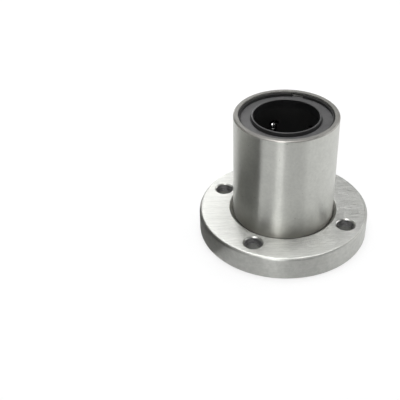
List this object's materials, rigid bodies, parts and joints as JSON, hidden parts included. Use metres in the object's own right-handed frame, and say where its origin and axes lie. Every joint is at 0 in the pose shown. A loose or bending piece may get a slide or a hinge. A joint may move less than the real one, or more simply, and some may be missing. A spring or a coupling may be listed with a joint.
{
  "type": "flanged linear bushing",
  "caption": "Linear ball bushing with a round mounting flange: a ground steel sleeve whose recirculating ball circuits carry a shaft sliding along its bore.",
  "frame": {"origin": "centre of the bore on the flange's outer face, which the bushing stands on", "axes": "+Z along the bore from the flange to the free end; +X through one of the flange's screw holes"},
  "size_m": [0.054, 0.054, 0.042],
  "materials": {
    "ground_steel": "ground",
    "turned_steel": "turned and ground",
    "retainer_resin": "moulded",
    "seal_rubber": "matt",
    "spring_steel": "black oxide",
    "bearing_steel": "polished"
  },
  "bodies": {
    "housing": {"outer_sleeve": "ground_steel", "mounting_flange": "turned_steel", "ball_retainer": "retainer_resin", "flange_end_seal": "seal_rubber", "free_end_seal": "seal_rubber", "flange_end_snap_ring": "spring_steel", "free_end_snap_ring": "spring_steel"},
    "circuit_1_load_balls": {"circuit_1_load_balls": "bearing_steel"},
    "circuit_1_upper_turn_balls": {"circuit_1_upper_turn_balls": "bearing_steel"},
    "circuit_1_return_balls": {"circuit_1_return_balls": "bearing_steel"},
    "circuit_1_lower_turn_balls": {"circuit_1_lower_turn_balls": "bearing_steel"},
    "circuit_2_load_balls": {"circuit_2_load_balls": "bearing_steel"},
    "circuit_2_upper_turn_balls": {"circuit_2_upper_turn_balls": "bearing_steel"},
    "circuit_2_return_balls": {"circuit_2_return_balls": "bearing_steel"},
    "circuit_2_lower_turn_balls": {"circuit_2_lower_turn_balls": "bearing_steel"},
    "circuit_3_load_balls": {"circuit_3_load_balls": "bearing_steel"},
    "circuit_3_upper_turn_balls": {"circuit_3_upper_turn_balls": "bearing_steel"},
    "circuit_3_return_balls": {"circuit_3_return_balls": "bearing_steel"},
    "circuit_3_lower_turn_balls": {"circuit_3_lower_turn_balls": "bearing_steel"},
    "circuit_4_load_balls": {"circuit_4_load_balls": "bearing_steel"},
    "circuit_4_upper_turn_balls": {"circuit_4_upper_turn_balls": "bearing_steel"},
    "circuit_4_return_balls": {"circuit_4_return_balls": "bearing_steel"},
    "circuit_4_lower_turn_balls": {"circuit_4_lower_turn_balls": "bearing_steel"},
    "circuit_5_load_balls": {"circuit_5_load_balls": "bearing_steel"},
    "circuit_5_upper_turn_balls": {"circuit_5_upper_turn_balls": "bearing_steel"},
    "circuit_5_return_balls": {"circuit_5_return_balls": "bearing_steel"},
    "circuit_5_lower_turn_balls": {"circuit_5_lower_turn_balls": "bearing_steel"}
  },
  "joints": [
    {"name": "circuit_1_load_travel", "type": "slide", "parent": "housing", "child": "circuit_1_load_balls", "axis": [0, 0, 1], "range_m": [-0.00273, 0.00053]},
    {"name": "circuit_1_return_travel", "type": "slide", "parent": "housing", "child": "circuit_1_return_balls", "axis": [0, 0, 1], "range_m": [-0.00053, 0.00273]},
    {"name": "circuit_1_upper_turn", "type": "hinge", "parent": "housing", "child": "circuit_1_upper_turn_balls", "pos_m": [0.00731, 0.00928, 0.03257], "axis": [0.4471, 0.8775, -0.1736], "range_deg": [-67.91, 13.14]},
    {"name": "circuit_1_lower_turn", "type": "hinge", "parent": "housing", "child": "circuit_1_lower_turn_balls", "pos_m": [0.00731, 0.00928, 0.00943], "axis": [0.4471, 0.8775, 0.1736], "range_deg": [-67.91, 13.14]},
    {"name": "circuit_2_load_travel", "type": "slide", "parent": "housing", "child": "circuit_2_load_balls", "axis": [0, 0, 1], "range_m": [-0.00273, 0.00053]},
    {"name": "circuit_2_return_travel", "type": "slide", "parent": "housing", "child": "circuit_2_return_balls", "axis": [0, 0, 1], "range_m": [-0.00053, 0.00273]},
    {"name": "circuit_2_upper_turn", "type": "hinge", "parent": "housing", "child": "circuit_2_upper_turn_balls", "pos_m": [-0.00657, 0.00982, 0.03257], "axis": [-0.6964, 0.6964, -0.1736], "range_deg": [-67.91, 13.14]},
    {"name": "circuit_2_lower_turn", "type": "hinge", "parent": "housing", "child": "circuit_2_lower_turn_balls", "pos_m": [-0.00657, 0.00982, 0.00943], "axis": [-0.6964, 0.6964, 0.1736], "range_deg": [-67.91, 13.14]},
    {"name": "circuit_3_load_travel", "type": "slide", "parent": "housing", "child": "circuit_3_load_balls", "axis": [0, 0, 1], "range_m": [-0.00273, 0.00053]},
    {"name": "circuit_3_return_travel", "type": "slide", "parent": "housing", "child": "circuit_3_return_balls", "axis": [0, 0, 1], "range_m": [-0.00053, 0.00273]},
    {"name": "circuit_3_upper_turn", "type": "hinge", "parent": "housing", "child": "circuit_3_upper_turn_balls", "pos_m": [-0.01137, -0.00321, 0.03257], "axis": [-0.8775, -0.4471, -0.1736], "range_deg": [-67.91, 13.14]},
    {"name": "circuit_3_lower_turn", "type": "hinge", "parent": "housing", "child": "circuit_3_lower_turn_balls", "pos_m": [-0.01137, -0.00321, 0.00943], "axis": [-0.8775, -0.4471, 0.1736], "range_deg": [-67.91, 13.14]},
    {"name": "circuit_4_load_travel", "type": "slide", "parent": "housing", "child": "circuit_4_load_balls", "axis": [0, 0, 1], "range_m": [-0.00273, 0.00053]},
    {"name": "circuit_4_return_travel", "type": "slide", "parent": "housing", "child": "circuit_4_return_balls", "axis": [0, 0, 1], "range_m": [-0.00053, 0.00273]},
    {"name": "circuit_4_upper_turn", "type": "hinge", "parent": "housing", "child": "circuit_4_upper_turn_balls", "pos_m": [-0.00046, -0.0118, 0.03257], "axis": [0.1541, -0.9727, -0.1736], "range_deg": [-67.91, 13.14]},
    {"name": "circuit_4_lower_turn", "type": "hinge", "parent": "housing", "child": "circuit_4_lower_turn_balls", "pos_m": [-0.00046, -0.0118, 0.00943], "axis": [0.1541, -0.9727, 0.1736], "range_deg": [-67.91, 13.14]},
    {"name": "circuit_5_load_travel", "type": "slide", "parent": "housing", "child": "circuit_5_load_balls", "axis": [0, 0, 1], "range_m": [-0.00273, 0.00053]},
    {"name": "circuit_5_return_travel", "type": "slide", "parent": "housing", "child": "circuit_5_return_balls", "axis": [0, 0, 1], "range_m": [-0.00053, 0.00273]},
    {"name": "circuit_5_upper_turn", "type": "hinge", "parent": "housing", "child": "circuit_5_upper_turn_balls", "pos_m": [0.01108, -0.00409, 0.03257], "axis": [0.9727, -0.1541, -0.1736], "range_deg": [-67.91, 13.14]},
    {"name": "circuit_5_lower_turn", "type": "hinge", "parent": "housing", "child": "circuit_5_lower_turn_balls", "pos_m": [0.01108, -0.00409, 0.00943], "axis": [0.9727, -0.1541, 0.1736], "range_deg": [-67.91, 13.14]}
  ],
  "couplings": [
    {"joint": "circuit_1_return_travel", "follows": "circuit_1_load_travel", "ratio": -1},
    {"joint": "circuit_1_upper_turn", "follows": "circuit_1_load_travel", "rad_per_m": 434.47},
    {"joint": "circuit_1_lower_turn", "follows": "circuit_1_load_travel", "rad_per_m": 434.47},
    {"joint": "circuit_2_return_travel", "follows": "circuit_2_load_travel", "ratio": -1},
    {"joint": "circuit_2_upper_turn", "follows": "circuit_2_load_travel", "rad_per_m": 434.47},
    {"joint": "circuit_2_lower_turn", "follows": "circuit_2_load_travel", "rad_per_m": 434.47},
    {"joint": "circuit_3_return_travel", "follows": "circuit_3_load_travel", "ratio": -1},
    {"joint": "circuit_3_upper_turn", "follows": "circuit_3_load_travel", "rad_per_m": 434.47},
    {"joint": "circuit_3_lower_turn", "follows": "circuit_3_load_travel", "rad_per_m": 434.47},
    {"joint": "circuit_4_return_travel", "follows": "circuit_4_load_travel", "ratio": -1},
    {"joint": "circuit_4_upper_turn", "follows": "circuit_4_load_travel", "rad_per_m": 434.47},
    {"joint": "circuit_4_lower_turn", "follows": "circuit_4_load_travel", "rad_per_m": 434.47},
    {"joint": "circuit_5_return_travel", "follows": "circuit_5_load_travel", "ratio": -1},
    {"joint": "circuit_5_upper_turn", "follows": "circuit_5_load_travel", "rad_per_m": 434.47},
    {"joint": "circuit_5_lower_turn", "follows": "circuit_5_load_travel", "rad_per_m": 434.47}
  ]
}
